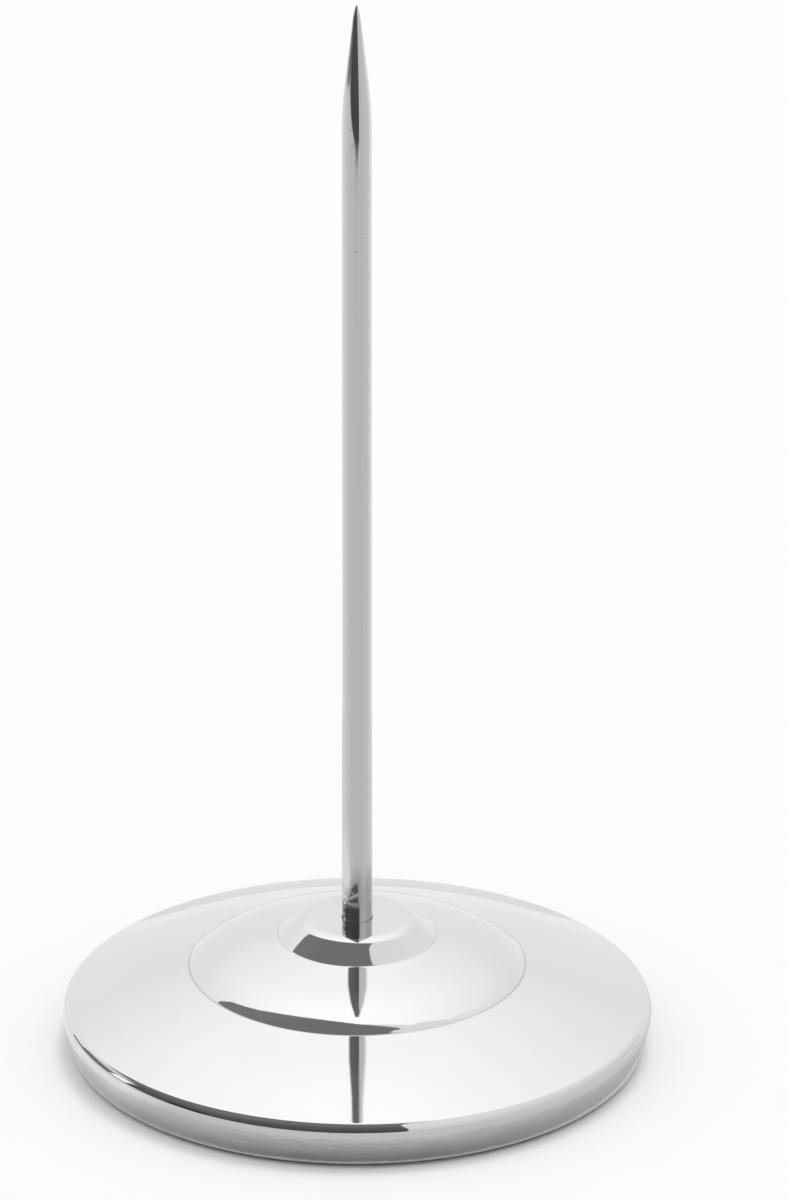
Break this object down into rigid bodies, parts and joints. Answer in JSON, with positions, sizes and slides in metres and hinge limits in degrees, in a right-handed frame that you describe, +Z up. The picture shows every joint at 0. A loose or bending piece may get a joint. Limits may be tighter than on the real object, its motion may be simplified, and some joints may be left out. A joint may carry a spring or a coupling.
{
  "type": "bill spike",
  "caption": "Bill spike: a polished pointed bar on a round, stepped, weighted base with a rubber foot, on which paper slips are impaled.",
  "frame": {"origin": "centre of the base, on the table", "axes": "+Z up along the spike; the part is round about Z"},
  "size_m": [0.098, 0.098, 0.189],
  "materials": {
    "bright_bar": "ground and polished",
    "polished_sheet": "mirror polished",
    "cast_iron": "as cast",
    "zinc_steel": "bright zinc plated",
    "spring_steel": "oiled spring steel",
    "plate_steel": "cold rolled",
    "foot_rubber": "fine cloth-pressed matt"
  },
  "bodies": {
    "root": {"spike": "bright_bar", "base_cover": "polished_sheet", "ballast": "cast_iron", "flat_washer": "zinc_steel", "spring_washer": "spring_steel", "hex_nut": "zinc_steel", "bottom_plate": "plate_steel", "rubber_foot": "foot_rubber"}
  },
  "joints": []
}
